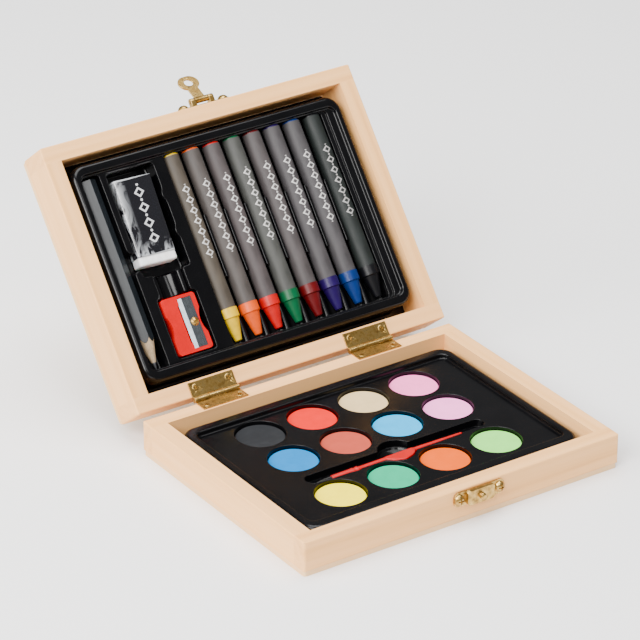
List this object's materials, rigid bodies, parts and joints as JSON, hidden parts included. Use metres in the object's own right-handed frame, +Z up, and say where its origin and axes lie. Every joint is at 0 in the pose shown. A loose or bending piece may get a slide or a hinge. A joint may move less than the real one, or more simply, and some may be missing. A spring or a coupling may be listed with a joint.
{
  "type": "paint and drawing box",
  "caption": "Shallow hinged wooden box, open, with paint tablets and a brush in a black tray in the base and crayons, pencil, eraser and sharpener in the lid tray.",
  "frame": {"origin": "centre of the base's flat underside", "axes": "+X along the hinges to the right as seen from the latch side, +Y from the latch side to the hinge side, +Z up"},
  "size_m": [0.17, 0.2407, 0.1234],
  "materials": {
    "planed_wood": "planed, waxed, end grain at the corners",
    "panel_wood": "sanded ply",
    "black_sheet": "formed sheet, semi-gloss",
    "brass": "pressed, bright",
    "paint_charcoal": "dry pressed tablet, matte",
    "paint_coral": "dry pressed tablet, matte",
    "paint_sand": "dry pressed tablet, matte",
    "paint_pink": "dry pressed tablet, matte",
    "paint_azure": "dry pressed tablet, matte",
    "paint_clay": "dry pressed tablet, matte",
    "paint_sky": "dry pressed tablet, matte",
    "paint_lilac": "dry pressed tablet, matte",
    "paint_yellow": "dry pressed tablet, matte",
    "paint_mint": "dry pressed tablet, matte",
    "paint_orange": "dry pressed tablet, matte",
    "paint_lime": "dry pressed tablet, matte",
    "wax_yellow": "wax, soft sheen",
    "wax_orange": "wax, soft sheen",
    "wax_red": "wax, soft sheen",
    "wax_green": "wax, soft sheen",
    "wax_maroon": "wax, soft sheen",
    "wax_violet": "wax, soft sheen",
    "wax_blue": "wax, soft sheen",
    "wax_black": "wax, soft sheen",
    "sleeve_paper": "printed paper, matte",
    "red_plastic": "moulded",
    "black_bristle": "hair tuft",
    "grey_lacquer": "grey lacquer, pale cedar at the cone",
    "graphite": "dark grey",
    "white_rubber": "vinyl, matte",
    "black_film": "crinkled clear-coated film",
    "blade_steel": "brushed, bright bevel",
    "screw_steel": "bright"
  },
  "bodies": {
    "base": {"base_front_wall": "planed_wood", "base_back_wall": "planed_wood", "base_left_wall": "planed_wood", "base_right_wall": "planed_wood", "base_bottom_panel": "panel_wood", "paint_tray": "black_sheet", "paint_charcoal": "paint_charcoal", "paint_coral": "paint_coral", "paint_sand": "paint_sand", "paint_pink": "paint_pink", "paint_azure": "paint_azure", "paint_clay": "paint_clay", "paint_sky": "paint_sky", "paint_lilac": "paint_lilac", "paint_yellow": "paint_yellow", "paint_mint": "paint_mint", "paint_orange": "paint_orange", "paint_lime": "paint_lime", "hinge_base_leaves": "brass", "hinge_pins": "brass", "hinge_base_screws": "brass", "catch_plate": "brass", "catch_screws": "brass"},
    "lid": {"lid_front_wall": "planed_wood", "lid_back_wall": "planed_wood", "lid_left_wall": "planed_wood", "lid_right_wall": "planed_wood", "lid_top_panel": "panel_wood", "tool_tray": "black_sheet", "hinge_lid_leaves": "brass", "hinge_lid_screws": "brass", "hasp_plate": "brass", "hasp_pin": "brass", "hasp_screws": "brass"},
    "tongue": {"hasp_tongue": "brass"},
    "brush": {"brush_handle": "red_plastic", "brush_bristles": "black_bristle"},
    "crayon_yellow_stick": {"crayon_yellow": "wax_yellow", "sleeve_yellow": "sleeve_paper"},
    "crayon_orange_stick": {"crayon_orange": "wax_orange", "sleeve_orange": "sleeve_paper"},
    "crayon_red_stick": {"crayon_red": "wax_red", "sleeve_red": "sleeve_paper"},
    "crayon_green_stick": {"crayon_green": "wax_green", "sleeve_green": "sleeve_paper"},
    "crayon_maroon_stick": {"crayon_maroon": "wax_maroon", "sleeve_maroon": "sleeve_paper"},
    "crayon_violet_stick": {"crayon_violet": "wax_violet", "sleeve_violet": "sleeve_paper"},
    "crayon_blue_stick": {"crayon_blue": "wax_blue", "sleeve_blue": "sleeve_paper"},
    "crayon_black_stick": {"crayon_black": "wax_black", "sleeve_black": "sleeve_paper"},
    "pencil": {"pencil_barrel": "grey_lacquer", "pencil_lead": "graphite"},
    "eraser": {"eraser_block": "white_rubber", "eraser_wrapper": "black_film"},
    "sharpener": {"sharpener_body": "red_plastic", "sharpener_blade": "blade_steel", "sharpener_screw": "screw_steel"}
  },
  "joints": [
    {"name": "lid_hinge", "type": "hinge", "parent": "base", "child": "lid", "pos_m": [0, 0.06603, 0.01795], "axis": [-1, 0, 0], "range_deg": [-129.67, 18]},
    {"name": "tongue_swing", "type": "hinge", "parent": "lid", "child": "tongue", "pos_m": [0.0068, 0.15639, 0.11737], "axis": [-1, 0, 0], "range_deg": [-120, 0]},
    {"name": "brush_lift", "type": "slide", "parent": "base", "child": "brush", "axis": [0, 0, 1], "range_m": [0, 0.04]},
    {"name": "crayon_yellow_lift", "type": "slide", "parent": "lid", "child": "crayon_yellow_stick", "axis": [0, -0.7771, 0.6293], "range_m": [0, 0.06]},
    {"name": "crayon_orange_lift", "type": "slide", "parent": "lid", "child": "crayon_orange_stick", "axis": [0, -0.7771, 0.6293], "range_m": [0, 0.06]},
    {"name": "crayon_red_lift", "type": "slide", "parent": "lid", "child": "crayon_red_stick", "axis": [0, -0.7771, 0.6293], "range_m": [0, 0.06]},
    {"name": "crayon_green_lift", "type": "slide", "parent": "lid", "child": "crayon_green_stick", "axis": [0, -0.7771, 0.6293], "range_m": [0, 0.06]},
    {"name": "crayon_maroon_lift", "type": "slide", "parent": "lid", "child": "crayon_maroon_stick", "axis": [0, -0.7771, 0.6293], "range_m": [0, 0.06]},
    {"name": "crayon_violet_lift", "type": "slide", "parent": "lid", "child": "crayon_violet_stick", "axis": [0, -0.7771, 0.6293], "range_m": [0, 0.06]},
    {"name": "crayon_blue_lift", "type": "slide", "parent": "lid", "child": "crayon_blue_stick", "axis": [0, -0.7771, 0.6293], "range_m": [0, 0.06]},
    {"name": "crayon_black_lift", "type": "slide", "parent": "lid", "child": "crayon_black_stick", "axis": [0, -0.7771, 0.6293], "range_m": [0, 0.06]},
    {"name": "pencil_lift", "type": "slide", "parent": "lid", "child": "pencil", "axis": [0, -0.7771, 0.6293], "range_m": [0, 0.06]},
    {"name": "eraser_lift", "type": "slide", "parent": "lid", "child": "eraser", "axis": [0, -0.7771, 0.6293], "range_m": [0, 0.06]},
    {"name": "sharpener_lift", "type": "slide", "parent": "lid", "child": "sharpener", "axis": [0, -0.7771, 0.6293], "range_m": [0, 0.06]}
  ]
}
